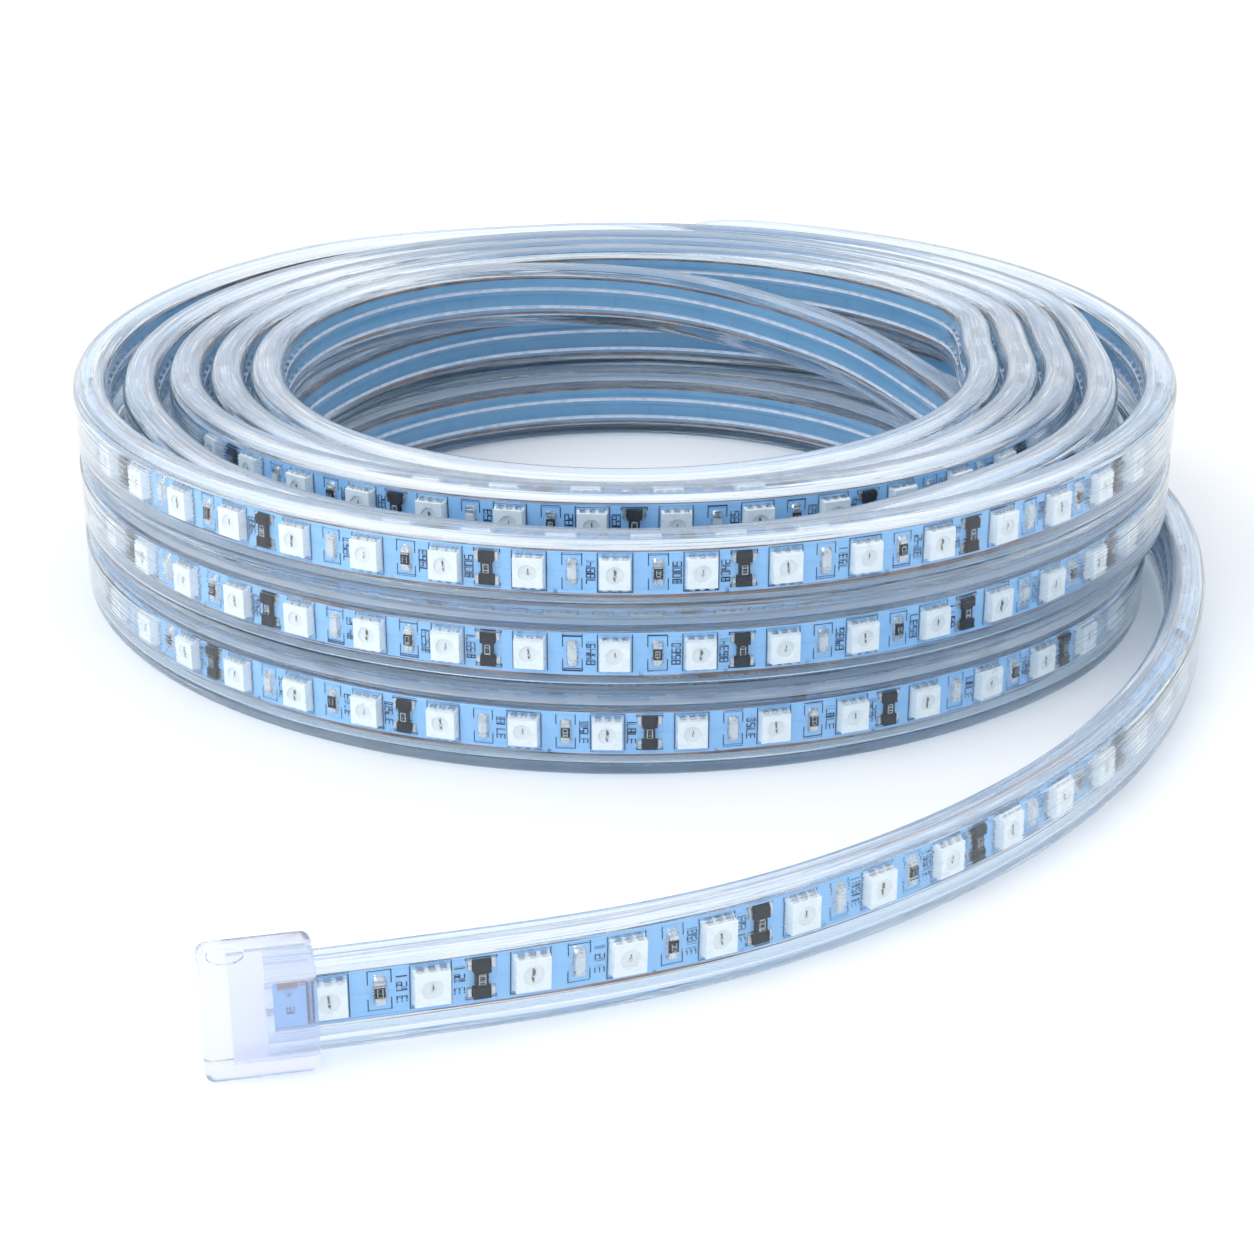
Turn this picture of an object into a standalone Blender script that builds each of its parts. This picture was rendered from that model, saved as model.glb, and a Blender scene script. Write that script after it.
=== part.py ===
# Coil of LED strip light in a clear sleeve: three layers of wound turns, with a free tail that ends in a cap.
# Metres, +Z up. The origin is the middle of the object's footprint, on the surface that it lies on.

import math

import bmesh
import bpy
import numpy as np

MM = 0.001

# Sleeve: a clear extruded jacket, its wide side upright, with a slot that the circuit strip slides in.
SLEEVE_HEIGHT = 13.5 * MM
SLEEVE_THICKNESS = 6.4 * MM
SHOULDER_RADIUS = 2.4 * MM
SHOULDER_STEPS = 2
BACK_WALL = 1.9 * MM
FIT_GAP = 0.3 * MM

# Circuit strip and what is soldered to its outward face.
STRIP_WIDTH = 8.3 * MM
STRIP_THICKNESS = 0.35 * MM
STRIP_END_INSET = 1.0 * MM
LED_SIDE = 5.0 * MM
LED_HEIGHT = 1.6 * MM
LED_EDGE_BEVEL = 0.2 * MM
LED_PITCH = 13.5 * MM
FIRST_LED = 8.0 * MM
RESISTOR_WIDTH = 1.9 * MM
RESISTOR_LENGTH = 4.4 * MM
RESISTOR_HEIGHT = 0.6 * MM
BRIDGE_WIDTH = 3.2 * MM
BRIDGE_LENGTH = 6.2 * MM
BRIDGE_WAIST = 1.5 * MM
BRIDGE_END = 2.0 * MM
BRIDGE_HEIGHT = 0.9 * MM
BRIDGE_EVERY = 3

# Coil: layers of turns, the outermost turn lying a little loose.
BORE_RADIUS = 65.0 * MM
TURNS = 5
LAYERS = 3
TURN_GAP = 1.1 * MM
LOOSE_GAP = 4.1 * MM
LAYER_GAP = 0.3 * MM
TURN_GROOVE_DEPTH = 9.0 * MM
COIL_STEPS = 40

# The bottom layer's outermost turn stops where the real one dips under the next, and leaves as the tail.
TURN_END_ANGLE = 325
TURN_STEP_ANGLE = 9
TAIL_STEP = 9.0 * MM

# The outermost turns of the upper layers: the angle round the coil's axis, how far out the centre line
# lies between the packed turns (0) and the loose turn (1), and the layer counted from the bottom one.
OUTER_ROUTE = [(118, 0, 2), (135, 1, 2), (435, 1, 2), (462, 1, 1), (750, 1, 1), (767, 0, 1)]
OUTER_STEP_ANGLE = 6

# Tail, seen from above: the angle round the coil's axis, and how far its centre line lies outside the turn.
TAIL_ROUTE = [
    (-104, 88.6 * MM), (-98, 79.4 * MM), (-90, 68.9 * MM), (-80, 57.0 * MM), (-70, 46.0 * MM),
    (-60, 35.9 * MM), (-50, 26.8 * MM), (-40, 19.0 * MM), (-30, 12.7 * MM), (-20, 8.1 * MM),
    (-10, 5.0 * MM), (0, 2.7 * MM), (10, 1.1 * MM), (20, 0.3 * MM), (30, 0.0),
]
LIFT_RUN = 70.0 * MM

# End cap: a clear block with a socket over the sleeve's end, resting on the same surface.
CAP_WALL = 1.2 * MM
CAP_OVERLAP = 6.5 * MM
CAP_POCKET = 4.5 * MM
CAP_END_WALL = 2.6 * MM
CAP_EDGE_BEVEL = 1.1 * MM

MERGE = 0.01 * MM
HEADING_REACH = 1.0 * MM
CUT_OVERRUN = 5.0 * MM

LAYER_PITCH = SLEEVE_HEIGHT + LAYER_GAP
TURN_PITCH = SLEEVE_THICKNESS + TURN_GAP
COIL_HEIGHT = LAYERS * LAYER_PITCH - LAYER_GAP
INNER_PACK_RADIUS = BORE_RADIUS + (TURNS - 1) * TURN_PITCH - TURN_GAP
OUTER_RADIUS = INNER_PACK_RADIUS + LOOSE_GAP + SLEEVE_THICKNESS
LOOSE_TURN_RADIUS = OUTER_RADIUS - SLEEVE_THICKNESS / 2
PACKED_TURN_RADIUS = INNER_PACK_RADIUS + FIT_GAP + SLEEVE_THICKNESS / 2
SLOT_HEIGHT = STRIP_WIDTH + 2 * FIT_GAP
SLOT_DEPTH = STRIP_THICKNESS + LED_HEIGHT + 3 * FIT_GAP
STRIP_OUTWARD = -SLEEVE_THICKNESS / 2 + BACK_WALL + FIT_GAP + STRIP_THICKNESS / 2
SOLDER_PLANE = STRIP_OUTWARD + STRIP_THICKNESS / 2 + FIT_GAP
CAP_LIFT = CAP_WALL + FIT_GAP
CAP_LENGTH = CAP_OVERLAP + CAP_POCKET + CAP_END_WALL


def clear_scene():
    for item in list(bpy.data.objects):
        bpy.data.objects.remove(item, do_unlink=True)


def new_collection(name):
    collection = bpy.data.collections.new(name)
    bpy.context.scene.collection.children.link(collection)
    return collection


def add_object(name, data, collection):
    item = bpy.data.objects.new(name, data)
    collection.objects.link(item)
    return item


def as_guide(item):
    item.hide_render = True
    item.display_type = "WIRE"
    return item


def make_material(name, colour, roughness, metallic=0.0, alpha=1.0):
    material = bpy.data.materials.new(name)
    material.use_nodes = True
    shader = material.node_tree.nodes["Principled BSDF"]
    shader.inputs["Base Color"].default_value = (*colour, 1.0)
    shader.inputs["Roughness"].default_value = roughness
    shader.inputs["Metallic"].default_value = metallic
    shader.inputs["Alpha"].default_value = alpha
    return material


def coil_material():
    return make_material("wound_strip", (0.62, 0.74, 0.88), 0.12)


def sleeve_material():
    return make_material("clear_sleeve", (0.88, 0.91, 0.96), 0.08, alpha=0.35)


def circuit_material():
    return make_material("blue_circuit", (0.30, 0.55, 0.86), 0.45)


def led_material():
    return make_material("led_white", (0.92, 0.92, 0.93), 0.3)


def resistor_material():
    return make_material("resistor_grey", (0.45, 0.45, 0.47), 0.35)


def bridge_material():
    return make_material("bridge_black", (0.04, 0.045, 0.06), 0.3)


def cap_material():
    return make_material("clear_cap", (0.93, 0.94, 0.97), 0.06, alpha=0.35)


def natural_spline(knots, values):
    """A smooth curve through the values, as a function: the natural cubic spline."""
    knots = np.asarray(knots, float)
    values = np.asarray(values, float)
    steps = np.diff(knots)
    slopes = np.diff(values) / steps
    size = len(knots)
    system = np.eye(size)
    right = np.zeros(size)
    for i in range(1, size - 1):
        system[i, i - 1:i + 2] = steps[i - 1], 2 * (steps[i - 1] + steps[i]), steps[i]
        right[i] = 6 * (slopes[i] - slopes[i - 1])
    bends = np.linalg.solve(system, right)

    def value(at):
        i = int(np.clip(np.searchsorted(knots, at) - 1, 0, size - 2))
        before, after = knots[i + 1] - at, at - knots[i]
        cubic = (bends[i] * before ** 3 + bends[i + 1] * after ** 3) / (6 * steps[i])
        start = (values[i] / steps[i] - bends[i] * steps[i] / 6) * before
        end = (values[i + 1] / steps[i] - bends[i + 1] * steps[i] / 6) * after
        return cubic + start + end

    return value


def eased(share):
    """A share from 0 to 1 that starts and stops gently."""
    held = min(max(share, 0.0), 1.0)
    return held * held * (3 - 2 * held)


def round_the_axis(angles, radii):
    turned = np.radians(angles)
    return np.column_stack([radii * np.cos(turned), radii * np.sin(turned)])


def layer_middle(layer):
    return layer * LAYER_PITCH + SLEEVE_HEIGHT / 2


def tail_line():
    """The free tail's centre line, finely divided, and on to the end of the bottom layer's outermost turn."""
    offset = natural_spline([angle for angle, _ in TAIL_ROUTE], [out for _, out in TAIL_ROUTE])
    start, join = TAIL_ROUTE[0][0], TAIL_ROUTE[-1][0]
    angles = np.arange(start, TURN_END_ANGLE + 0.001, 0.5)
    radii = [LOOSE_TURN_RADIUS + (offset(angle) if angle < join else 0.0) for angle in angles]
    flat = round_the_axis(angles, radii)
    travelled = np.concatenate([[0.0], np.cumsum(np.linalg.norm(np.diff(flat, axis=0), axis=1))])
    lifts = [CAP_LIFT * (1 - eased((at - CAP_OVERLAP) / LIFT_RUN)) for at in travelled]
    return np.column_stack([flat, np.add(lifts, layer_middle(0))])


def outer_line():
    """The centre line of the outermost turns: round the top layer, down at the back, round the middle one."""
    angles, radii, heights = [], [], []
    for before, after in zip(OUTER_ROUTE, OUTER_ROUTE[1:]):
        for angle in np.arange(before[0], after[0], 0.5):
            share = eased((angle - before[0]) / (after[0] - before[0]))
            out = before[1] + (after[1] - before[1]) * share
            angles.append(angle)
            radii.append(PACKED_TURN_RADIUS + (LOOSE_TURN_RADIUS - PACKED_TURN_RADIUS) * out)
            heights.append(layer_middle(before[2] + (after[2] - before[2]) * share))
    return np.column_stack([round_the_axis(angles, radii), heights])


class Route:
    """A centre line of the strip: a place and a heading for each distance along it."""

    def __init__(self, line):
        self.line = line
        legs = np.linalg.norm(np.diff(line, axis=0), axis=1)
        self.travelled = np.concatenate([[0.0], np.cumsum(legs)])
        self.length = float(self.travelled[-1])

    def on_line(self, at):
        return np.array([np.interp(at, self.travelled, self.line[:, axis]) for axis in range(3)])

    def direction(self, at):
        middle = min(max(at, 0.0), self.length)
        low, high = max(middle - HEADING_REACH, 0.0), min(middle + HEADING_REACH, self.length)
        step = self.on_line(high) - self.on_line(low)
        return step / np.linalg.norm(step)

    def heading(self, at):
        along = self.direction(at)
        return math.atan2(along[1], along[0])

    def place(self, at, outward=0.0):
        """A point level with the centre line, at a distance away from the coil's axis."""
        clipped = min(max(at, 0.0), self.length)
        along = self.direction(at)
        x, y, z = self.on_line(clipped) + along * (at - clipped)
        return (x + along[1] * outward, y - along[0] * outward, z)

    def length_to(self, angle):
        """The distance along the line to an angle round the coil's axis."""
        angles = np.degrees(np.unwrap(np.arctan2(self.line[:, 1], self.line[:, 0])))
        return float(np.interp(angle, angles, self.travelled))


def even_steps(start, end, step):
    return list(np.linspace(start, end, max(2, round((end - start) / step) + 1)))


def tail_stations(route):
    """Distances along the tail and its turn where their solids bend."""
    join = route.length_to(TAIL_ROUTE[-1][0])
    turn_step = LOOSE_TURN_RADIUS * math.radians(TURN_STEP_ANGLE)
    return even_steps(0.0, join, TAIL_STEP) + even_steps(join, route.length, turn_step)[1:]


def outer_stations(route):
    """Distances along the outermost turns where their solids bend."""
    return even_steps(0.0, route.length, LOOSE_TURN_RADIUS * math.radians(OUTER_STEP_ANGLE))


def corner(x, y, start, sweep):
    """A rounded shoulder about the point, from one angle through a quarter turn, in degrees."""
    angles = [math.radians(start + sweep * step / SHOULDER_STEPS) for step in range(SHOULDER_STEPS + 1)]
    return [(x + SHOULDER_RADIUS * math.cos(a), y + SHOULDER_RADIUS * math.sin(a)) for a in angles]


def rounded_section(grow=0.0):
    """The sleeve's upright outline, or one a little larger all round."""
    across = SLEEVE_THICKNESS / 2 + grow - SHOULDER_RADIUS
    upward = SLEEVE_HEIGHT / 2 + grow - SHOULDER_RADIUS
    points = corner(across, -upward, -90, 90) + corner(across, upward, 0, 90)
    return points + corner(-across, upward, 90, 90) + corner(-across, -upward, 180, 90)


def plain_section(width, height, outward):
    """An upright rectangle whose middle lies outward of the centre line."""
    near, far = outward - width / 2, outward + width / 2
    return [(far, -height / 2), (far, height / 2), (near, height / 2), (near, -height / 2)]


def section_curve(name, points, guides):
    curve = bpy.data.curves.new(name, "CURVE")
    curve.dimensions = "2D"
    spline = curve.splines.new("POLY")
    spline.points.add(len(points) - 1)
    for point, (x, y) in zip(spline.points, points):
        point.co = (x, y, 0.0, 1.0)
    spline.use_cyclic_u = True
    return as_guide(add_object(name, curve, guides))


def swept_mesh(name, section, places, guides):
    """A closed mesh of the section carried along the places, kept upright."""
    profile = section_curve(name + "_section", section, guides)
    curve = bpy.data.curves.new(name + "_path", "CURVE")
    curve.dimensions = "3D"
    curve.twist_mode = "Z_UP"
    curve.bevel_mode = "OBJECT"
    curve.bevel_object = profile
    curve.use_fill_caps = True
    spline = curve.splines.new("POLY")
    spline.points.add(len(places) - 1)
    for point, place in zip(spline.points, places):
        point.co = (*place, 1.0)
    path = as_guide(add_object(name + "_path", curve, guides))
    bpy.context.view_layer.update()
    evaluated = path.evaluated_get(bpy.context.evaluated_depsgraph_get())
    mesh = bpy.data.meshes.new_from_object(evaluated)
    mesh.name = name
    bpy.data.objects.remove(path, do_unlink=True)
    weld(mesh)
    return mesh


def weld(mesh):
    shape = bmesh.new()
    shape.from_mesh(mesh)
    bmesh.ops.remove_doubles(shape, verts=shape.verts, dist=MERGE)
    bmesh.ops.recalc_face_normals(shape, faces=shape.faces)
    shape.to_mesh(mesh)
    shape.free()


def boolean_cut(item, cutter):
    cut = item.modifiers.new("cut", "BOOLEAN")
    cut.operation = "DIFFERENCE"
    cut.solver = "EXACT"
    cut.object = cutter


def finish(item, material):
    item.data.materials.clear()
    item.data.materials.append(material)
    if item.type == "MESH":
        item.data.shade_smooth()
        item.data.set_sharp_from_angle(angle=math.radians(35))
    return item


def turn_edges(turn):
    """The inner and outer radius of a packed turn, counted from the bore."""
    inner = BORE_RADIUS + turn * TURN_PITCH
    return inner, inner + SLEEVE_THICKNESS


def coil_top():
    """The upper end, from the bore to the outside: the turns' shoulders and the grooves between turns."""
    shoulder = COIL_HEIGHT - SHOULDER_RADIUS
    floor = COIL_HEIGHT - TURN_GROOVE_DEPTH
    points = []
    for turn in range(TURNS - 1):
        inner, outer = turn_edges(turn)
        if turn > 0:
            points += [(inner - TURN_GAP, floor), (inner, floor)]
        points += corner(inner + SHOULDER_RADIUS, shoulder, 180, -90)
        points += corner(outer - SHOULDER_RADIUS, shoulder, 90, -90)
    return points


def coil_outside():
    """The outer side, downwards, with a groove between layers."""
    points = []
    for layer in range(LAYERS - 1, 0, -1):
        foot = layer * LAYER_PITCH
        points += corner(INNER_PACK_RADIUS - SHOULDER_RADIUS, foot + SHOULDER_RADIUS, 0, -90)
        points += corner(INNER_PACK_RADIUS - SHOULDER_RADIUS, foot - LAYER_GAP - SHOULDER_RADIUS, 90, -90)
    return points


def coil_underside():
    """The lower end, from the outside to the bore: the turns' shoulders and the grooves between turns."""
    points = []
    for turn in range(TURNS - 2, -1, -1):
        inner, outer = turn_edges(turn)
        points += corner(outer - SHOULDER_RADIUS, SHOULDER_RADIUS, 0, -90)
        points += corner(inner + SHOULDER_RADIUS, SHOULDER_RADIUS, -90, -90)
        if turn > 0:
            points += [(inner, TURN_GROOVE_DEPTH), (inner - TURN_GAP, TURN_GROOVE_DEPTH)]
    return points


def coil_bore():
    """The bore's wall, upwards: a groove between layers."""
    points = []
    for layer in range(1, LAYERS):
        foot = layer * LAYER_PITCH
        points += corner(BORE_RADIUS + SHOULDER_RADIUS, foot - LAYER_GAP - SHOULDER_RADIUS, 180, -90)
        points += corner(BORE_RADIUS + SHOULDER_RADIUS, foot + SHOULDER_RADIUS, -90, -90)
    return points


def make_coil(parts):
    profile = coil_top() + coil_outside() + coil_underside() + coil_bore()
    mesh = bpy.data.meshes.new("coil")
    edges = [(i, (i + 1) % len(profile)) for i in range(len(profile))]
    mesh.from_pydata([(radius, 0.0, height) for radius, height in profile], edges, [])
    coil = add_object("coil", mesh, parts)
    screw = coil.modifiers.new("turned", "SCREW")
    screw.angle = math.tau
    screw.steps = screw.render_steps = COIL_STEPS
    screw.use_merge_vertices = True
    screw.merge_threshold = MERGE
    screw.use_smooth_shade = True
    return finish(coil, coil_material())


def make_sleeve(name, route, stations, material, parts, guides):
    """A length of the sleeve with the slot cut through it from end to end."""
    places = [route.place(at) for at in stations]
    sleeve = add_object(name, swept_mesh(name, rounded_section(), places, guides), parts)
    middle = -SLEEVE_THICKNESS / 2 + BACK_WALL + SLOT_DEPTH / 2
    slot_section = plain_section(SLOT_DEPTH, SLOT_HEIGHT, middle)
    overrun = [route.place(-CUT_OVERRUN)] + places + [route.place(route.length + CUT_OVERRUN)]
    slot_mesh = swept_mesh(name + "_slot", slot_section, overrun, guides)
    slot = as_guide(add_object(name + "_slot", slot_mesh, guides))
    boolean_cut(sleeve, slot)
    return finish(sleeve, material)


def make_strip(name, route, stations, material, parts, guides):
    """The circuit strip in a length of sleeve, a little shorter than it at each end."""
    inner = [at for at in stations if STRIP_END_INSET < at < route.length - STRIP_END_INSET]
    places = [route.place(at) for at in [STRIP_END_INSET] + inner + [route.length - STRIP_END_INSET]]
    section = plain_section(STRIP_THICKNESS, STRIP_WIDTH, STRIP_OUTWARD)
    return finish(add_object(name, swept_mesh(name, section, places, guides), parts), material)


def box_mesh(name, size, bevel=0.0, segments=1, middle=(0.0, 0.0, 0.0)):
    """A box about the middle given, its edges bevelled where a bevel is asked for."""
    shape = bmesh.new()
    bmesh.ops.create_cube(shape, size=1.0)
    bmesh.ops.scale(shape, vec=size, verts=shape.verts)
    bmesh.ops.translate(shape, vec=middle, verts=shape.verts)
    if bevel > 0:
        edges = shape.edges[:]
        bmesh.ops.bevel(shape, geom=edges, offset=bevel, segments=segments, profile=0.5, affect="EDGES")
    mesh = bpy.data.meshes.new(name)
    shape.to_mesh(mesh)
    shape.free()
    return mesh


def solder(name, data, route, at, height, parts, upright=False):
    """Stands a component on the circuit strip's outward face."""
    item = add_object(name, data, parts)
    item.location = route.place(at, outward=SOLDER_PLANE + height / 2)
    item.rotation_euler = (math.radians(90) if upright else 0.0, 0.0, route.heading(at))
    return item


def bridge_curve():
    """The black bridge component: two wide ends joined by a waist, standing upright on the strip."""
    wide, slim, tall = BRIDGE_WIDTH / 2, BRIDGE_WAIST / 2, BRIDGE_LENGTH / 2
    step = tall - BRIDGE_END
    half = [(wide, step), (wide, tall), (-wide, tall), (-wide, step), (-slim, step)]
    outline = [(slim, step)] + half + [(-x, -y) for x, y in [(slim, step)] + half]
    curve = bpy.data.curves.new("bridge", "CURVE")
    curve.dimensions = "2D"
    curve.fill_mode = "BOTH"
    curve.extrude = BRIDGE_HEIGHT / 2
    spline = curve.splines.new("POLY")
    spline.points.add(len(outline) - 1)
    for point, (x, y) in zip(spline.points, outline):
        point.co = (x, y, 0.0, 1.0)
    spline.use_cyclic_u = True
    return curve


def make_components(route, parts):
    """Lamps at even steps along the free tail, with a resistor or a bridge midway between them."""
    led = box_mesh("led", (LED_SIDE, LED_HEIGHT, LED_SIDE), LED_EDGE_BEVEL)
    led.materials.append(led_material())
    resistor = box_mesh("resistor", (RESISTOR_WIDTH, RESISTOR_HEIGHT, RESISTOR_LENGTH))
    resistor.materials.append(resistor_material())
    bridge = bridge_curve()
    bridge.materials.append(bridge_material())
    count = int((route.length_to(TAIL_ROUTE[-1][0]) - FIRST_LED) // LED_PITCH) + 1
    for index in range(count):
        at = FIRST_LED + index * LED_PITCH
        solder(f"led_{index + 1:02d}", led, route, at, LED_HEIGHT, parts)
        if index == count - 1:
            break
        between = at + LED_PITCH / 2
        if index % BRIDGE_EVERY == 1:
            solder(f"bridge_{index + 1:02d}", bridge, route, between, BRIDGE_HEIGHT, parts, upright=True)
        else:
            solder(f"resistor_{index + 1:02d}", resistor, route, between, RESISTOR_HEIGHT, parts)


def make_cap(route, parts, guides):
    size = (CAP_LENGTH, SLEEVE_THICKNESS + 2 * CAP_LIFT, SLEEVE_HEIGHT + 2 * CAP_LIFT)
    middle = (CAP_OVERLAP - CAP_LENGTH / 2, 0.0, 0.0)
    mesh = box_mesh("end_cap", size, CAP_EDGE_BEVEL, segments=2, middle=middle)
    cap = add_object("end_cap", mesh, parts)
    run = [(-CAP_POCKET, 0.0, 0.0), (CAP_OVERLAP + CUT_OVERRUN, 0.0, 0.0)]
    socket_mesh = swept_mesh("socket_cut", rounded_section(FIT_GAP), run, guides)
    socket = as_guide(add_object("socket_cut", socket_mesh, guides))
    for item in (cap, socket):
        item.location = route.place(0.0)
        item.rotation_euler = (0.0, 0.0, route.heading(CAP_OVERLAP / 2))
    boolean_cut(cap, socket)
    return finish(cap, cap_material())


def centre_on_footprint(parts, guides):
    """Parents everything to an empty that brings the middle of the footprint to the origin."""
    bpy.context.view_layer.update()
    graph = bpy.context.evaluated_depsgraph_get()
    corners = []
    for item in parts.objects:
        shape = item.evaluated_get(graph)
        corners += [shape.matrix_world @ vertex.co for vertex in shape.to_mesh().vertices]
        shape.to_mesh_clear()
    low = [min(corner[axis] for corner in corners) for axis in (0, 1)]
    high = [max(corner[axis] for corner in corners) for axis in (0, 1)]
    frame = add_object("coil_axis", None, guides)
    frame.location = (-(low[0] + high[0]) / 2, -(low[1] + high[1]) / 2, 0.0)
    for item in list(parts.objects) + list(guides.objects):
        if item is not frame:
            item.parent = frame


def main():
    clear_scene()
    parts = new_collection("led_strip_light")
    guides = new_collection("cutters")
    clear, blue = sleeve_material(), circuit_material()
    tail, outer = Route(tail_line()), Route(outer_line())
    make_coil(parts)
    make_sleeve("tail_sleeve", tail, tail_stations(tail), clear, parts, guides)
    make_strip("circuit_strip", tail, tail_stations(tail), blue, parts, guides)
    make_sleeve("outer_sleeve", outer, outer_stations(outer), clear, parts, guides)
    make_strip("outer_circuit", outer, outer_stations(outer), blue, parts, guides)
    make_components(tail, parts)
    make_cap(tail, parts, guides)
    centre_on_footprint(parts, guides)


main()
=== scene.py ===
"""Looks for the coil of LED strip light: one clear sleeve, its circuit, soldered parts and end cap."""
import math

import bmesh
import bpy
import numpy as np
from mathutils import Matrix, Vector
from mathutils.geometry import tessellate_polygon


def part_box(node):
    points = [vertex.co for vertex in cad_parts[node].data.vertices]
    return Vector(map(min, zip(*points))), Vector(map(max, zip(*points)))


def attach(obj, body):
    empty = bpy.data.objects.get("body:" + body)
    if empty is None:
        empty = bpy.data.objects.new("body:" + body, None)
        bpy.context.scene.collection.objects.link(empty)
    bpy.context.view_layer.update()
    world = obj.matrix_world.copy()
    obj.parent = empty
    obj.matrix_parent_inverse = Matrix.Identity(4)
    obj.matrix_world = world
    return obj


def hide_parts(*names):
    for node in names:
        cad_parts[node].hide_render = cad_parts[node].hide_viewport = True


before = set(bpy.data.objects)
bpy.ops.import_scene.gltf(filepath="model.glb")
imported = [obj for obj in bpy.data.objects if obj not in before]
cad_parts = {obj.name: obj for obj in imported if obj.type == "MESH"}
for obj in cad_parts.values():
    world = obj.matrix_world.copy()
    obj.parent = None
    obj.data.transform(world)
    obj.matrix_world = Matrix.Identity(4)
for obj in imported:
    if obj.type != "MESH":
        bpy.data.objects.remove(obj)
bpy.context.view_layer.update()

MM = 0.001

# The coil's axis runs through the middle of its packed turns.
coil_low, coil_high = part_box("coil")
AXIS = ((coil_low.x + coil_high.x) / 2, (coil_low.y + coil_high.y) / 2)

# Sleeve section.
SLEEVE_HEIGHT = 13.5 * MM
SLEEVE_THICKNESS = 6.4 * MM
SHOULDER_RADIUS = 2.4 * MM
SHOULDER_STEPS = 4
BACK_WALL = 1.9 * MM
SLOT_HEIGHT = 8.9 * MM
SLOT_DEPTH = 2.85 * MM
SLOT_CORNER = 0.45 * MM
SLOT_STEPS = 2
SLEEVE_STEP = 4.2 * MM
GROOVE_PLACES = (-2.0 * MM, 2.0 * MM)
GROOVE_WIDTH = 0.7 * MM
GROOVE_DEPTH = 0.3 * MM

# The sleeve's material slots. A side whose normal's share up or down passes the limit takes a painted sheen:
# a milky haze streaked with painted reflections of the sky and the circuit.
CLEAR, FROSTED, PAINTED_SHEEN = 0, 1, 2
SHEEN_FROM = 0.7

# Circuit strip.
STRIP_WIDTH = 8.3 * MM
STRIP_THICKNESS = 0.35 * MM
STRIP_MIDDLE = -0.825 * MM
COPPER_EDGE = 0.4 * MM
STRIP_INSET = 1.0 * MM
STRIP_STEP = 4.0 * MM

# Lamps and what stands midway between them.
LED_PITCH = 13.5 * MM
FIRST_LED = 8.0 * MM
LAST_LED = 3.6 * MM
LED_SIDE = 5.0 * MM
LED_HEIGHT = 1.6 * MM
LED_TAPER = 0.12 * MM
WINDOW_RADIUS = 1.5 * MM
WINDOW_DEPTH = 0.22 * MM
WINDOW_STEPS = 16
LEAD_STEP = 1.55 * MM
PRINT_LIFT = 0.02 * MM
PRINT_LINE = 0.15 * MM

# End cap.
CAP_WALL = 1.2 * MM
CAP_GAP = 0.3 * MM
CAP_OVERLAP = 6.5 * MM
CAP_POCKET = 4.5 * MM
CAP_END_WALL = 3.8 * MM
CAP_EDGE = 1.4 * MM
DIMPLE_PLACE = -4.6 * MM
DIMPLE_RADIUS = 2.4 * MM
DIMPLE_DEPTH = 0.5 * MM

# Route of the strip: angle round the axis in degrees, radius and height of its centre in millimetres.
LOW, MID, TOP = 6.75, 20.55, 34.35
LOOSE = 101.2
TAIL_ROUTE = [
    (-104, 88.6), (-98, 79.4), (-90, 68.9), (-80, 57.0), (-70, 46.0), (-60, 35.9), (-50, 26.8), (-40, 19.0),
    (-30, 12.7), (-20, 8.1), (-10, 5.0), (0, 2.7), (10, 1.1), (20, 0.3), (30, 0.0),
]
# The cap holds the strip's end off the floor by this much, and the strip comes down over this run.
CAP_LIFT = 1.5
LIFT_START = 6.5
LIFT_RUN = 70.0
BOTTOM_TURNS = [
    (30, LOOSE, LOW), (318, LOOSE, LOW), (360, 95.9, LOW), (390, 93.4, LOW), (678, 93.4, LOW),
    (750, 83.8, LOW), (1038, 83.8, LOW), (1110, 76.6, LOW), (1398, 76.6, LOW), (1470, 68.3, LOW),
    (1700, 68.3, LOW),
]
RISER = [
    (1780, 68.3, MID), (1820, 68.3, MID), (1850, 68.3, 25.0), (1890, 68.3, 31.2), (1930, 68.3, 34.0),
]
TOP_TURNS = [
    (1950, 68.3, TOP), (1980, 68.2, TOP), (2040, 72.2, TOP), (2070, 73.0, TOP), (2100, 71.6, TOP),
    (2160, 68.4, TOP), (2187, 74.8, TOP), (2250, 75.0, TOP), (2300, 75.5, TOP), (2340, 75.7, TOP),
    (2400, 78.8, TOP), (2430, 79.5, TOP), (2460, 78.3, TOP), (2520, 75.6, TOP), (2547, 81.4, TOP),
    (2610, 81.7, TOP), (2660, 82.6, TOP), (2700, 83.3, TOP),
    (2760, 85.4, TOP + 1.5), (2790, 86.0, TOP + 2.0), (2820, 85.0, TOP + 1.2), (2850, 83.3, TOP + 0.2),
    (2880, 82.6, TOP), (2907, 88.0, TOP), (2970, 88.4, TOP), (3020, 90.0, TOP), (3060, 91.3, TOP),
    (3085, 93.0, TOP), (3105, 94.6, TOP - 1.2), (3125, 94.65, TOP - 2.2), (3150, 94.65, TOP - 2.3),
    (3165, 94.65, TOP - 2.0), (3195, 93.8, TOP), (3240, 89.8, TOP), (3267, 94.6, TOP), (3342, 94.8, TOP),
    (3375, LOOSE, TOP), (3675, LOOSE, TOP),
]
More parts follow.
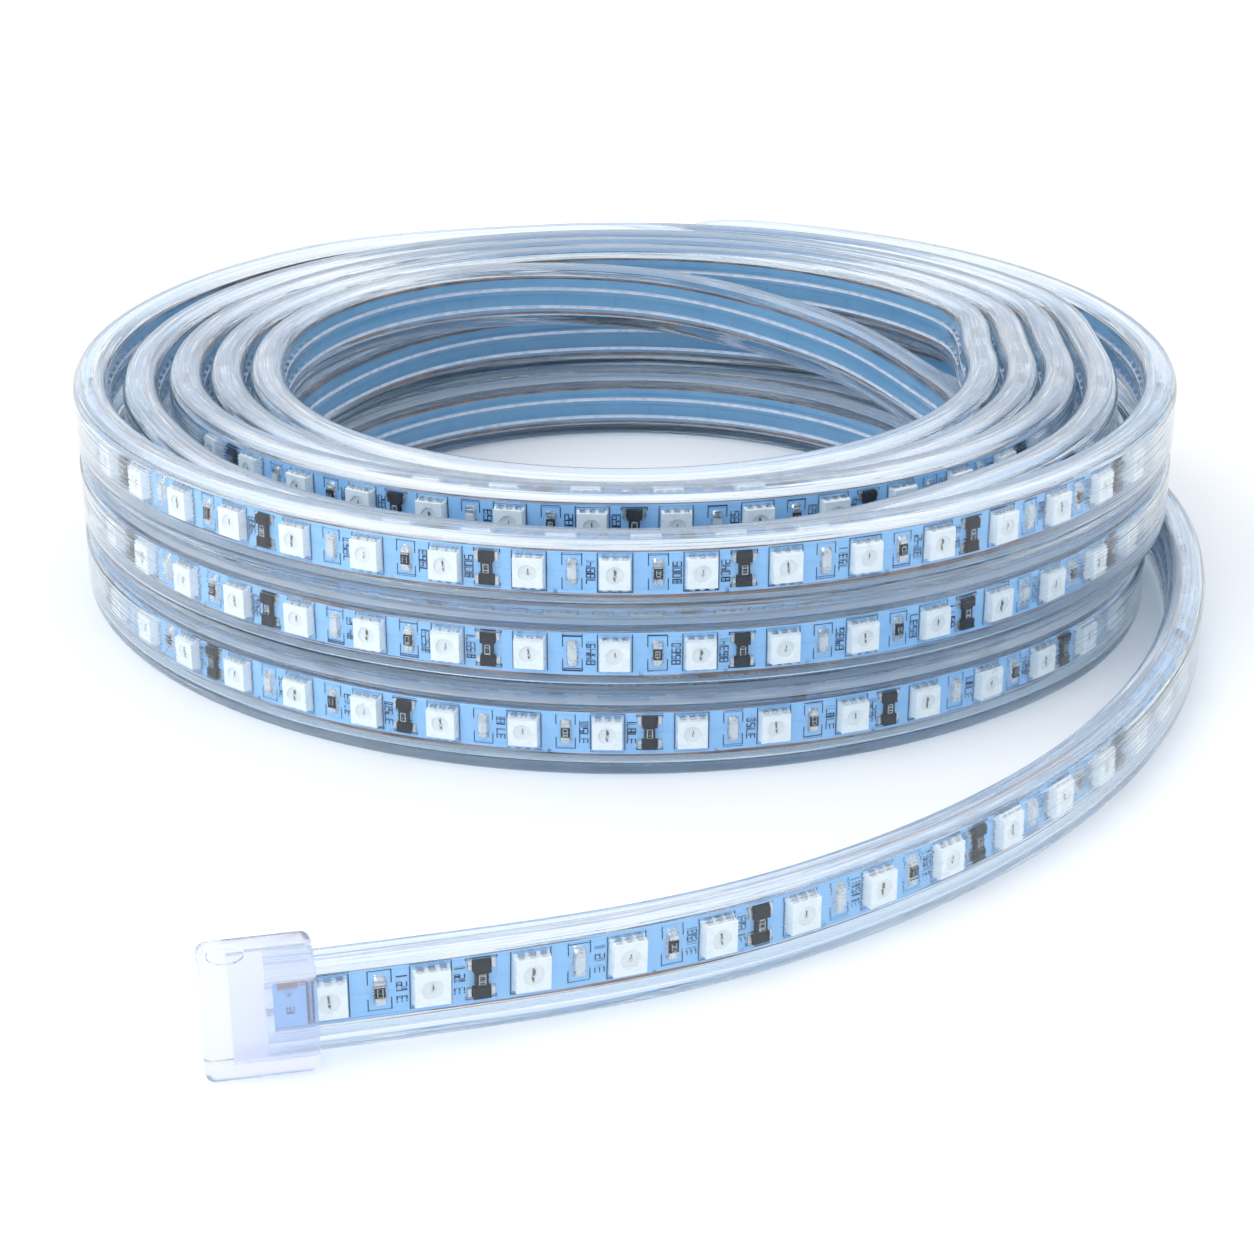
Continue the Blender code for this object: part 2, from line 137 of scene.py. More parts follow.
MIDDLE_TURNS = [
    (3702, LOOSE, MID), (3990, LOOSE, MID), (4032, 94.6, MID), (4070, 94.5, MID), (4120, 89.3, MID),
    (4160, 88.1, MID), (4280, 88.1, MID), (4320, 94.3, MID), (4350, 94.4, MID), (4392, 88.0, MID),
    (4430, 87.9, MID), (4480, 82.6, MID), (4520, 81.5, MID), (4640, 81.5, MID), (4680, 87.7, MID),
    (4710, 87.8, MID), (4752, 81.4, MID), (4790, 81.3, MID), (4840, 76.0, MID), (4880, 74.9, MID),
    (5000, 74.9, MID), (5040, 81.1, MID), (5070, 81.2, MID), (5112, 74.85, MID), (5150, 74.8, MID),
    (5195, 69.2, MID), (5225, 68.3, MID), (5285, 68.3, MID),
]

# Steps of the route: degrees on the tail and on the turns.
TAIL_ANGLE_STEP = 0.25
TURN_ANGLE_STEP = 0.5

# The circuit comes in lengths soldered end to end: the angle where each starts and its place in
# the cycle of parts.
LENGTHS = [(-104, 0), (80.5, 1), (2340, 0), (3390, 0), (3689.4, 1)]

# Light and camera. The sky's colours go by height, from the horizon to overhead.
SKY = [(0.0, (0.60, 0.68, 0.77)), (0.35, (0.94, 0.97, 1.0)), (1.0, (1.0, 1.0, 1.0))]
SKY_STRENGTH = 1.1
KEY_PLACE = (-0.8, -0.4, 1.0)
KEY_SIDE = 0.8
KEY_POWER = 6.0
FLOOR_REACH = 4.0
FLOOR_DROP = 0.2 * MM
CAMERA_FROM_AXIS = (0.4 * MM, -448.5 * MM)
CAMERA_HEIGHT = 175.2 * MM
CAMERA_TILT = 66.64
CAMERA_LENS = 69.26


# The strip's path.

def natural_spline(knots, values, at):
    """The natural cubic spline through the values."""
    knots, values = np.asarray(knots, float), np.asarray(values, float)
    steps = np.diff(knots)
    slopes = np.diff(values) / steps
    size = len(knots)
    system, right = np.eye(size), np.zeros(size)
    for i in range(1, size - 1):
        system[i, i - 1:i + 2] = steps[i - 1], 2 * (steps[i - 1] + steps[i]), steps[i]
        right[i] = 6 * (slopes[i] - slopes[i - 1])
    bends = np.linalg.solve(system, right)
    i = np.clip(np.searchsorted(knots, at) - 1, 0, size - 2)
    before, after = knots[i + 1] - at, at - knots[i]
    cubic = (bends[i] * before ** 3 + bends[i + 1] * after ** 3) / (6 * steps[i])
    start = (values[i] / steps[i] - bends[i] * steps[i] / 6) * before
    end = (values[i + 1] / steps[i] - bends[i + 1] * steps[i] / 6) * after
    return cubic + start + end


def steady_curve(knots, values, at):
    """A smooth curve through the values that never overshoots them."""
    knots, values = np.asarray(knots, float), np.asarray(values, float)
    steps = np.diff(knots)
    slopes = np.diff(values) / steps
    rates = np.zeros(len(knots))
    for i in range(1, len(knots) - 1):
        before, after = slopes[i - 1], slopes[i]
        if before * after > 0:
            near, far = 2 * steps[i] + steps[i - 1], steps[i] + 2 * steps[i - 1]
            rates[i] = (near + far) / (near / before + far / after)
    i = np.clip(np.searchsorted(knots, at, side="right") - 1, 0, len(knots) - 2)
    share = (at - knots[i]) / steps[i]
    rest = 1 - share
    value = values[i] * (1 + 2 * share) * rest ** 2 + values[i + 1] * share ** 2 * (3 - 2 * share)
    return value + steps[i] * (rates[i] * share * rest ** 2 - rates[i + 1] * share ** 2 * rest)


def running_length(points):
    """How far along the line of points each of them lies."""
    return np.concatenate([[0.0], np.cumsum(np.linalg.norm(np.diff(points, axis=0), axis=1))])


class Path:
    """The centre line of the whole strip, from its capped end, with the frame at any distance along it."""

    def __init__(self):
        turns = BOTTOM_TURNS + RISER + TOP_TURNS + MIDDLE_TURNS
        knots = [turn[0] for turn in turns]
        tail_angles = np.arange(TAIL_ROUTE[0][0], TAIL_ROUTE[-1][0], TAIL_ANGLE_STEP)
        offsets = natural_spline([a for a, _ in TAIL_ROUTE], [out for _, out in TAIL_ROUTE], tail_angles)
        turn_angles = np.arange(knots[0], knots[-1] + TURN_ANGLE_STEP / 50, TURN_ANGLE_STEP)
        angles = np.radians(np.concatenate([tail_angles, turn_angles]))
        turn_radii = steady_curve(knots, [turn[1] for turn in turns], turn_angles)
        turn_heights = steady_curve(knots, [turn[2] for turn in turns], turn_angles)
        radii = np.concatenate([LOOSE + offsets, turn_radii])
        heights = np.concatenate([np.full(len(tail_angles), LOW), turn_heights])
        points = np.column_stack([radii * np.cos(angles), radii * np.sin(angles), heights])
        travelled = running_length(points[:, :2])
        share = np.clip((travelled - LIFT_START) / LIFT_RUN, 0.0, 1.0)
        points[:, 2] += CAP_LIFT * (1 - share * share * (3 - 2 * share))
        points *= MM
        points[:, 0] += AXIS[0]
        points[:, 1] += AXIS[1]
        self.points = points
        self.angles = np.degrees(angles)
        self.travelled = running_length(points)
        self.length = float(self.travelled[-1])

    def distance(self, angle):
        """How far along the strip it reaches an angle round the axis, in degrees."""
        return float(np.interp(angle, self.angles, self.travelled))

    def at(self, where):
        """Points at the distances given, which lie between the strip's ends."""
        return np.column_stack([np.interp(where, self.travelled, self.points[:, axis]) for axis in range(3)])

    def frames(self, where):
        """Points, and unit vectors along the strip, away from the coil and up the strip's width."""
        where = np.asarray(where, float)
        reach = 1.0 * MM
        low, high = np.clip(where - reach, 0, self.length), np.clip(where + reach, 0, self.length)
        along = self.at(high) - self.at(low)
        along /= np.linalg.norm(along, axis=1)[:, None]
        outward = np.column_stack([along[:, 1], -along[:, 0], np.zeros(len(along))])
        outward /= np.linalg.norm(outward, axis=1)[:, None]
        up = np.cross(outward, along)
        return self.at(where), along, outward, up


# Mesh helpers.

def linked(name, data):
    """A new object in the scene."""
    item = bpy.data.objects.new(name, data)
    bpy.context.scene.collection.objects.link(item)
    return item


def add_piece(name, mesh, materials, slot, *nodes):
    """A piece of the part, in place of the CAD nodes named."""
    item = linked(name, mesh)
    for material in materials:
        mesh.materials.append(material)
    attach(item, "root")
    if nodes:
        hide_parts(*nodes)
    return item


def corner(x, y, radius, steps, start):
    """Points and normals of a rounded corner, through a quarter turn from an angle in degrees."""
    angles = [math.radians(start + 90 * step / steps) for step in range(steps + 1)]
    return [(x + radius * math.cos(a), y + radius * math.sin(a), math.cos(a), math.sin(a)) for a in angles]


def rounded_box(left, right, low, high, radius, steps):
    """A rounded rectangle, counter-clockwise from the lower right: x, y and the outward normal."""
    points = corner(right - radius, low + radius, radius, steps, -90)
    points += corner(right - radius, high - radius, radius, steps, 0)
    points += corner(left + radius, high - radius, radius, steps, 90)
    points += corner(left + radius, low + radius, radius, steps, 180)
    return np.array(points)


def grooved_skin():
    """The sleeve's outline with fine grooves along its back, and the material slot of each of its sides."""
    half_w, half_h = SLEEVE_THICKNESS / 2, SLEEVE_HEIGHT / 2
    skin = rounded_box(-half_w, half_w, -half_h, half_h, SHOULDER_RADIUS, SHOULDER_STEPS)
    grooves = []
    for place in sorted(GROOVE_PLACES, reverse=True):
        for across, deep, slope in ((0.5, 0, -0.6), (0.25, 1, 0.0), (-0.25, 1, 0.0), (-0.5, 0, 0.6)):
            grooves.append((deep * GROOVE_DEPTH - half_w, place + across * GROOVE_WIDTH, -1.0, slope))
    turn = 3 * (SHOULDER_STEPS + 1)
    skin = np.concatenate([skin[:turn], np.array(grooves), skin[turn:]])
    # Sides turned up or down take the painted sheen of sky and circuit reflections; the front and back stay
    # clear.
    facing_up = np.abs(skin[:, 3] + np.roll(skin[:, 3], -1)) / 2
    slots = np.where(facing_up > SHEEN_FROM, PAINTED_SHEEN, CLEAR)
    for groove in range(len(GROOVE_PLACES)):
        first = turn + 4 * groove
        slots[first:first + 3] = FROSTED
    return skin, slots


def swept_faces(first, stations, size, flip):
    """Quads of a tube whose rings follow each other in the vertex list."""
    ring = np.arange(size)
    after = (ring + 1) % size
    base = first + np.arange(stations - 1)[:, None] * size
    quads = np.stack([base + ring, base + after, base + size + after, base + size + ring], axis=-1)
    quads = quads.reshape(-1, 4)
    return quads if flip else quads[:, ::-1]


def placed(points, outward, up, profile):
    """The profile's points set out at every station along the strip."""
    return points[:, None] + outward[:, None] * profile[None, :, 0:1] + up[:, None] * profile[None, :, 1:2]


def mesh_from(name, vertices, faces, slots=None, loop_uv=None, normals=None):
    """A smooth mesh, with material slots to its faces, and UVs and normals to their corners."""
    mesh = bpy.data.meshes.new(name)
    mesh.from_pydata([tuple(v) for v in vertices], [], [tuple(int(i) for i in f) for f in faces])
    if slots is not None:
        mesh.polygons.foreach_set("material_index", np.asarray(slots, dtype=np.int32))
    if loop_uv is not None:
        layer = mesh.uv_layers.new(name="UVMap")
        layer.data.foreach_set("uv", np.asarray(loop_uv, dtype=np.float32).ravel())
    mesh.polygons.foreach_set("use_smooth", np.ones(len(mesh.polygons), dtype=bool))
    if normals is not None:
        mesh.normals_split_custom_set([tuple(n) for n in normals])
    mesh.update()
    return mesh


def end_faces(skin, slot, stations, station, direction):
    """Triangles between the sleeve's outline and its slot at one end."""
    flat = [Vector((x, y, 0)) for x, y in skin], [Vector((x, y, 0)) for x, y in slot]
    both = flat[0] + flat[1]
    first = stations * len(skin) + station * len(slot)
    for triangle in tessellate_polygon(flat):
        corners = [station * len(skin) + i if i < len(skin) else first + i - len(skin) for i in triangle]
        a, b, c = [both[i] for i in triangle]
        if ((b - a).cross(c - a).z > 0) == (direction > 0):
            corners.reverse()
        yield corners


def sleeve_mesh(path):
    """The clear sleeve: its outside, the slot through it and an end face at each end."""
    where = np.linspace(0.0, path.length, round(path.length / SLEEVE_STEP) + 1)
    points, along, outward, up = path.frames(where)
    slot_left = BACK_WALL - SLEEVE_THICKNESS / 2
    skin, skin_slots = grooved_skin()
    slot = rounded_box(slot_left, slot_left + SLOT_DEPTH, -SLOT_HEIGHT / 2, SLOT_HEIGHT / 2,
                       SLOT_CORNER, SLOT_STEPS)
    slot_sides = [CLEAR] * len(slot)
    vertices, faces, uv, normals, slots = [], [], [], [], []
    first = 0
    for profile, sides, flip, side in ((skin, skin_slots, False, 1.0), (slot, slot_sides, True, -1.0)):
        size = len(profile)
        place = placed(points, outward, up, profile)
        facing = side * placed(np.zeros_like(points), outward, up, profile[:, 2:])
        quads = swept_faces(first, len(where), size, flip)
        around = running_length(profile[:, :2])
        local = quads - first
        station, ring = local // size, local % size
        uv.append(np.stack([where[station], around[ring]], axis=-1).reshape(-1, 2))
        normals.append(facing.reshape(-1, 3)[local].reshape(-1, 3))
        vertices.append(place.reshape(-1, 3))
        faces += quads.tolist()
        slots += list(sides) * (len(where) - 1)
        first += len(where) * size
    for station, direction in ((0, -1.0), (len(where) - 1, 1.0)):
        for corners in end_faces(skin[:, :2], slot[:, :2], len(where), station, direction):
            faces.append(corners)
            slots.append(CLEAR)
            uv.append(np.zeros((3, 2)))
            normals.append(np.repeat(along[station][None] * direction, 3, axis=0))
    return mesh_from("clear_sleeve", np.concatenate(vertices), faces, slots, np.concatenate(uv),
                     np.concatenate(normals))


def strip_mesh(path):
    """The flexible circuit: a blue face each way and a line of bare copper along every edge."""
    where = np.linspace(STRIP_INSET, path.length - STRIP_INSET, round(path.length / STRIP_STEP) + 1)
    points, _, outward, up = path.frames(where)
    near, far = STRIP_MIDDLE - STRIP_THICKNESS / 2, STRIP_MIDDLE + STRIP_THICKNESS / 2
    edge, inner = STRIP_WIDTH / 2, STRIP_WIDTH / 2 - COPPER_EDGE
    profile = np.array([(far, -edge), (far, -inner), (far, inner), (far, edge),
                        (near, edge), (near, inner), (near, -inner), (near, -edge)])
    size = len(profile)
    vertices = placed(points, outward, up, profile)
    quads = swept_faces(0, len(where), size, False)
    slots = np.tile([2, 0, 2, 2, 2, 1, 2, 2], len(where) - 1)
    uv = np.stack([where[quads // size], profile[quads % size, 1]], axis=-1)
    ends = [list(range(size)), [len(vertices.reshape(-1, 3)) - 1 - i for i in range(size)]]
    faces = quads.tolist() + ends
    slots = np.concatenate([slots, [2, 2]])
    uv = np.concatenate([uv.reshape(-1, 2), np.zeros((2 * size, 2))])
    mesh = mesh_from("circuit_strip", vertices.reshape(-1, 3), faces, slots, uv)
    mesh.set_sharp_from_angle(angle=math.radians(35))
    return mesh


class Shape:
    """A small part in strip coordinates: x along the strip, y away from it, z up its width."""

    def __init__(self):
        self.vertices, self.faces, self.slots = [], [], []

    def add(self, vertices, faces, slot):
        """More faces, whose corners count from the first of their own vertices."""
        first = len(self.vertices)
        self.vertices += vertices
        self.faces += [[first + i for i in face] for face in faces]
        self.slots += [slot] * len(faces)

    def prism(self, outline, low, high, slot, inset=0.0):
        """An upright block on the strip: its foot outline, and its top drawn in by the inset."""
        count = len(outline)
        middle = np.mean(outline, axis=0)
        reach = np.max(np.abs(np.asarray(outline) - middle), axis=0)
        shrink = 1 - inset / np.maximum(reach, 1e-9)
        top = [(middle[0] + (x - middle[0]) * shrink[0], middle[1] + (z - middle[1]) * shrink[1])
               for x, z in outline]
        vertices = [(x, low, z) for x, z in outline] + [(x, high, z) for x, z in top]
        faces = [[i, count + i, count + (i + 1) % count, (i + 1) % count] for i in range(count)]
        faces.append([count + i for i in reversed(range(count))])
        self.add(vertices, faces, slot)

    def block(self, x, z, width, height, low, high, slot, inset=0.0):
        """An upright block round a middle."""
        half_w, half_h = width / 2, height / 2
        outline = [(x + half_w, z - half_h), (x + half_w, z + half_h),
                   (x - half_w, z + half_h), (x - half_w, z - half_h)]
        self.prism(outline, low, high, slot, inset)

    def flat(self, x, z, width, height, at, slot):
        """A rectangle that faces away from the strip."""
        half_w, half_h = width / 2, height / 2
        vertices = [(x + half_w, at, z - half_h), (x + half_w, at, z + half_h),
                    (x - half_w, at, z + half_h), (x - half_w, at, z - half_h)]
        self.add(vertices, [[3, 2, 1, 0]], slot)


def spread(name, path, groups):
    """One mesh from many copies: groups of a shape and the distances along the strip where it stands."""
    base = STRIP_MIDDLE + STRIP_THICKNESS / 2
    vertices, faces, slots = [], [], []
    first = 0
    for shape, where in groups:
        points, along, outward, up = path.frames(where)
        local = np.array(shape.vertices)
        place = (points[:, None] + along[:, None] * local[None, :, 0:1]
                 + outward[:, None] * (local[None, :, 1:2] + base) + up[:, None] * local[None, :, 2:3])
        for copy in range(len(points)):
            start = first + copy * len(local)
            faces += [[start + i for i in face] for face in shape.faces]
            slots += shape.slots
        vertices.append(place.reshape(-1, 3))
        first += len(points) * len(local)
    mesh = mesh_from(name, np.concatenate(vertices), faces, slots)
    mesh.set_sharp_from_angle(angle=math.radians(30))
    return mesh


# Small parts.

# Dark wires and marks in a lamp's window, in millimetres: x, z, width and height. Four kinds of lamp.
LED_MARKS = [
    [(0.0, 0.15, 0.2, 1.5), (0.12, -0.45, 0.16, 0.7), (-0.1, 0.75, 0.14, 0.35)],
    [(0.05, 0.3, 0.14, 0.9)],
    [(-0.05, 0.0, 0.24, 1.9), (0.16, 0.5, 0.16, 0.5), (-0.2, -0.4, 0.14, 0.45)],
    [(0.0, -0.2, 0.12, 0.6), (0.1, 0.45, 0.12, 0.4)],
]


def led_shape(marks):
    """A square lamp: white body with a round window, fine wires in it and three leads on either side."""
    shape = Shape()
    half, top = LED_SIDE / 2, LED_SIDE / 2 - LED_TAPER
    count = WINDOW_STEPS
    angles = [math.tau * i / count for i in range(count)]
    square = []
    for angle in angles:
        x, z = math.cos(angle), math.sin(angle)
        reach = max(abs(x), abs(z))
        square.append((x / reach, z / reach))
    foot = [(x * half, 0.0, z * half) for x, z in square]
    rim = [(x * top, LED_HEIGHT, z * top) for x, z in square]
    lip = [(math.cos(a) * WINDOW_RADIUS, LED_HEIGHT, math.sin(a) * WINDOW_RADIUS) for a in angles]
    bottom = LED_HEIGHT - WINDOW_DEPTH
    floor = [(x * 0.94, bottom, z * 0.94) for x, _, z in lip]
    rings = [foot, rim, lip, floor]
    faces = []
    for ring in range(3):
        for i in range(count):
            after = (i + 1) % count
            low, high = ring * count, (ring + 1) * count
            faces.append([low + i, high + i, high + after, low + after])
    shape.add(sum(rings, []), faces, 0)
    shape.add(floor, [list(reversed(range(count)))], 1)
    for x, z, width, height in marks:
        shape.block(x * MM, z * MM, width * MM, height * MM, bottom, LED_HEIGHT - 0.12 * MM, 3)
    shape.block(0.05 * MM, -0.1 * MM, 0.4 * MM, 0.3 * MM, bottom, LED_HEIGHT - 0.1 * MM, 2)
    for side in (-1, 1):
        for x in (-LEAD_STEP, 0.0, LEAD_STEP):
            shape.block(x, side * (half + 0.14 * MM), 0.95 * MM, 0.42 * MM, 0.0, 1.05 * MM, 2, 0.06 * MM)
    return shape


def resistor_shape(dark):
    """A chip resistor on rounded solder, with a printed dark middle or bare."""
    shape = Shape()
    outline = rounded_box(-0.95 * MM, 0.95 * MM, -2.25 * MM, 2.25 * MM, 0.6 * MM, 3)[:, :2]
    shape.prism([tuple(p) for p in outline], 0.0, 0.34 * MM, 0, 0.2 * MM)
    shape.block(0.0, 0.0, 1.5 * MM, 3.2 * MM, 0.3 * MM, 0.58 * MM, 0, 0.1 * MM)
    shape.block(0.0, 0.0, 1.5 * MM, 2.0 * MM, 0.3 * MM, 0.66 * MM, 1 if dark else 2, 0.08 * MM)
    if dark:
        for x in (-0.34 * MM, 0.34 * MM):
            shape.flat(x, 0.0, 0.09 * MM, 1.05 * MM, 0.68 * MM, 3)
        for z in (-0.52 * MM, 0.0, 0.52 * MM):
            shape.flat(0.0, z, 0.6 * MM, 0.09 * MM, 0.68 * MM, 3)
    return shape


def bridge_shape():
    """A black component with two wide ends and a waist, soldered at its four corners."""
    shape = Shape()
    for side in (-1, 1):
        shape.block(0.0, side * 1.95 * MM, 2.5 * MM, 1.8 * MM, 0.0, 0.95 * MM, 1, 0.08 * MM)
        for x in (-1.6 * MM, 1.6 * MM):
            shape.block(x, side * 2.05 * MM, 0.75 * MM, 1.6 * MM, 0.0, 0.3 * MM, 0, 0.12 * MM)
    shape.block(0.0, 0.0, 1.8 * MM, 2.4 * MM, 0.0, 0.8 * MM, 1, 0.08 * MM)
    for x in (-0.42 * MM, 0.42 * MM):
        shape.flat(x, 0.0, 0.12 * MM, 1.5 * MM, 0.82 * MM, 3)
    for z in (-0.7 * MM, -0.2 * MM, 0.3 * MM, 0.75 * MM):
        shape.flat(0.0, z, 0.8 * MM, 0.12 * MM, 0.82 * MM, 3)
    return shape


def joint_shape():
    """Solder bars that join two lengths of the circuit."""
    shape = Shape()
    for side in (-1, 1):
        outline = rounded_box(-1.6 * MM, 1.6 * MM, -0.7 * MM, 0.7 * MM, 0.5 * MM, 3)[:, :2]
        shape.prism([(x, z + side * 2.4 * MM) for x, z in outline], 0.0, 0.5 * MM, 0, 0.3 * MM)
    return shape


def pad_shape():
    """The bare copper pad at the circuit's end, placed from the first lamp."""
    shape = Shape()
    shape.block(-5.1 * MM, 3.1 * MM, 2.6 * MM, 1.8 * MM, 0.0, 0.08 * MM, 4)
    shape.block(-3.2 * MM, 3.3 * MM, 0.7 * MM, 1.4 * MM, 0.0, 0.08 * MM, 4)
    return shape


def frame_print(width, height, leg):
    """Printed corner brackets round a part; the legs meet where they are half the height."""
    shape = Shape()
    for side in (-1, 1):
        shape.flat(0.0, side * height / 2, width + PRINT_LINE, PRINT_LINE, PRINT_LIFT, 0)
        for x in (-width / 2, width / 2):
            shape.flat(x, side * (height - leg) / 2, PRINT_LINE, leg, PRINT_LIFT, 0)
    return shape


# Seven bars to a digit: which of them each digit has, and where each stands in shares of the digit's
# height and width.
DIGIT_BARS = {
    "0": "abcdef", "1": "bc", "2": "abged", "3": "abgcd", "4": "fgbc", "5": "afgcd", "6": "afgedc",
    "7": "abc", "8": "abcdefg", "9": "abcfgd",
}
BAR_PLACES = {
    "a": (0.5, 0), "g": (0.0, 0), "d": (-0.5, 0), "f": (0.25, -0.5), "b": (0.25, 0.5),
    "e": (-0.25, -0.5), "c": (-0.25, 0.5),
}


def number_shape(text, x, z, size):
    """Plain numbers that read upwards along z, made of straight bars."""
    shape = Shape()
    wide, line = size * 0.5, size * 0.13
    for index, digit in enumerate(text):
        middle = z + (index - (len(text) - 1) / 2) * (wide + size * 0.26)
        for bar in DIGIT_BARS[digit]:
            across, along = BAR_PLACES[bar]
            if bar in "agd":
                shape.flat(x - across * size, middle, line, wide + line, PRINT_LIFT, 0)
            else:
                shape.flat(x - across * size, middle + along * wide, size / 2 + line, line, PRINT_LIFT, 0)
    return shape


# Materials.

def new_material(name):
    """A material with its node tree and its shader."""
    material = bpy.data.materials.new(name)
    material.use_nodes = True
    tree = material.node_tree
    return material, tree, tree.nodes["Principled BSDF"]


def set_inputs(node, **values):
    """Plain values on a node's inputs."""
    for name, value in values.items():
        node.inputs[name.replace("_", " ")].default_value = value


def noise(tree, scale, detail=3.0, stretch=(1.0, 1.0, 1.0), uv=False):
    """Noise in the object's coordinates, or along and round the strip by its UVs."""
    coordinates = tree.nodes.new("ShaderNodeTexCoord")
    mapping = tree.nodes.new("ShaderNodeMapping")
    mapping.inputs["Scale"].default_value = stretch
    texture = tree.nodes.new("ShaderNodeTexNoise")
    set_inputs(texture, Scale=scale, Detail=detail)
    tree.links.new(coordinates.outputs["UV" if uv else "Object"], mapping.inputs["Vector"])
    tree.links.new(mapping.outputs["Vector"], texture.inputs["Vector"])
    return texture.outputs["Fac"]


def ramp(tree, source, stops):
    """A colour from a value, by stops of a position and a colour."""
    node = tree.nodes.new("ShaderNodeValToRGB")
    while len(node.color_ramp.elements) < len(stops):
        node.color_ramp.elements.new(0.5)
    for element, (position, colour) in zip(node.color_ramp.elements, stops):
        element.position = position
        element.color = (*colour, 1.0)
    tree.links.new(source, node.inputs["Fac"])
    return node.outputs["Color"]


def map_range(tree, source, low, high, to_low, to_high):
    """A value moved from one range to another."""
    node = tree.nodes.new("ShaderNodeMapRange")
    for name, value in (("From Min", low), ("From Max", high), ("To Min", to_low), ("To Max", to_high)):
        node.inputs[name].default_value = value
    tree.links.new(source, node.inputs["Value"])
    return node.outputs["Result"]


def bump(tree, shader, source, strength, distance):
    """Fine relief on a shader's surface."""
    node = tree.nodes.new("ShaderNodeBump")
    node.inputs["Strength"].default_value = strength
    node.inputs["Distance"].default_value = distance
    tree.links.new(source, node.inputs["Height"])
    tree.links.new(node.outputs["Normal"], shader.inputs["Normal"])


def solid(name, dark, light, roughness, metallic=0.0, scale=900.0, relief=0.08, rough_spread=0.08,
          shine=0.5):
    """A plastic or a metal with a fine mottle in its colour, its gloss and its surface."""
    material, tree, shader = new_material(name)
    shader.inputs["Specular IOR Level"].default_value = shine
    grain = noise(tree, scale, 4.0)
    tree.links.new(ramp(tree, grain, [(0.3, dark), (0.7, light)]), shader.inputs["Base Color"])
    rough = map_range(tree, grain, 0.3, 0.7, roughness - rough_spread, roughness + rough_spread)
    tree.links.new(rough, shader.inputs["Roughness"])
    shader.inputs["Metallic"].default_value = metallic
    bump(tree, shader, grain, relief, 0.05 * MM)
    return material


def clear_plastic(name, tint, roughness, bend, clearness):
    """Clear plastic that lets lamp light through to what it covers."""
    material, tree, shader = new_material(name)
    set_inputs(shader, Roughness=roughness, IOR=bend)
    shader.inputs["Transmission Weight"].default_value = clearness
    shader.inputs["Base Color"].default_value = (*tint, 1.0)
    clear = tree.nodes.new("ShaderNodeBsdfTransparent")
    clear.inputs["Color"].default_value = (*tint, 1.0)
    rays = tree.nodes.new("ShaderNodeLightPath")
    output = tree.nodes["Material Output"]
    surface = shader.outputs["BSDF"]
    for kind in ("Is Diffuse Ray", "Is Shadow Ray"):
        mix = tree.nodes.new("ShaderNodeMixShader")
        tree.links.new(rays.outputs[kind], mix.inputs["Fac"])
        tree.links.new(surface, mix.inputs[1])
        tree.links.new(clear.outputs["BSDF"], mix.inputs[2])
        surface = mix.outputs["Shader"]
    tree.links.new(surface, output.inputs["Surface"])
    return material, tree, shader


def drawn_plastic(name, tint, clearness, sheen_colours=None):
    """The sleeve's plastic, with fine drawn lines along it and, given two colours, a milky haze in streaks
    between them: painted reflections of the sky and the blue circuit.
    """
    material, tree, shader = clear_plastic(name, tint, 0.03, 1.34, clearness)
    bump(tree, shader, noise(tree, 1.0, 1.0, (14.0, 2600.0, 1.0), uv=True), 0.6, 0.12 * MM)
    if sheen_colours:
        # Streaks of pale blue and white in the haze: painted reflection of the circuit and the sky over a
        # partly real milkiness.
        lines = noise(tree, 1.0, 2.0, (9.0, 1500.0, 1.0), uv=True)
        colour = ramp(tree, lines, [(0.36, sheen_colours[0]), (0.62, sheen_colours[1])])
        tree.links.new(colour, shader.inputs["Base Color"])
    return material


def cap_plastic():
    """The cap's plastic: a little milky and softly moulded."""
    material, tree, shader = clear_plastic("clear_cap", (0.88, 0.90, 0.96), 0.1, 1.25, 0.88)
    bump(tree, shader, noise(tree, 260.0, 2.0), 0.1, 0.2 * MM)
    return material


def circuit_material(name, base, trace, shade):
    """Solder mask over copper tracks: broad faint bands along the strip, gaps at each lamp's step."""
    material, tree, shader = new_material(name)
    tracks = tree.nodes.new("ShaderNodeTexBrick")
    tracks.offset = 0.5
    set_inputs(tracks, Scale=1.0, Color1=(1, 1, 1, 1), Color2=(0.85, 0.85, 0.85, 1), Mortar=(0, 0, 0, 1))
    tracks.inputs["Mortar Size"].default_value = 0.00012
    tracks.inputs["Mortar Smooth"].default_value = 0.3
    tracks.inputs["Brick Width"].default_value = LED_PITCH / 2
    tracks.inputs["Row Height"].default_value = STRIP_WIDTH / 3
    coordinates = tree.nodes.new("ShaderNodeTexCoord")
    tree.links.new(coordinates.outputs["UV"], tracks.inputs["Vector"])
    colour = ramp(tree, tracks.outputs["Color"], [(0.0, trace), (1.0, base)])
    mottle = noise(tree, 160.0, 4.0)
    mix = tree.nodes.new("ShaderNodeMix")
    mix.data_type = "RGBA"
    tree.links.new(map_range(tree, mottle, 0.35, 0.7, 0.0, 0.35), mix.inputs["Factor"])
    tree.links.new(colour, mix.inputs["A"])
    mix.inputs["B"].default_value = (*shade, 1.0)
    tree.links.new(mix.outputs["Result"], shader.inputs["Base Color"])
    tree.links.new(map_range(tree, mottle, 0.3, 0.7, 0.32, 0.5), shader.inputs["Roughness"])
    bump(tree, shader, tracks.outputs["Fac"], 0.25, 0.04 * MM)
    return material


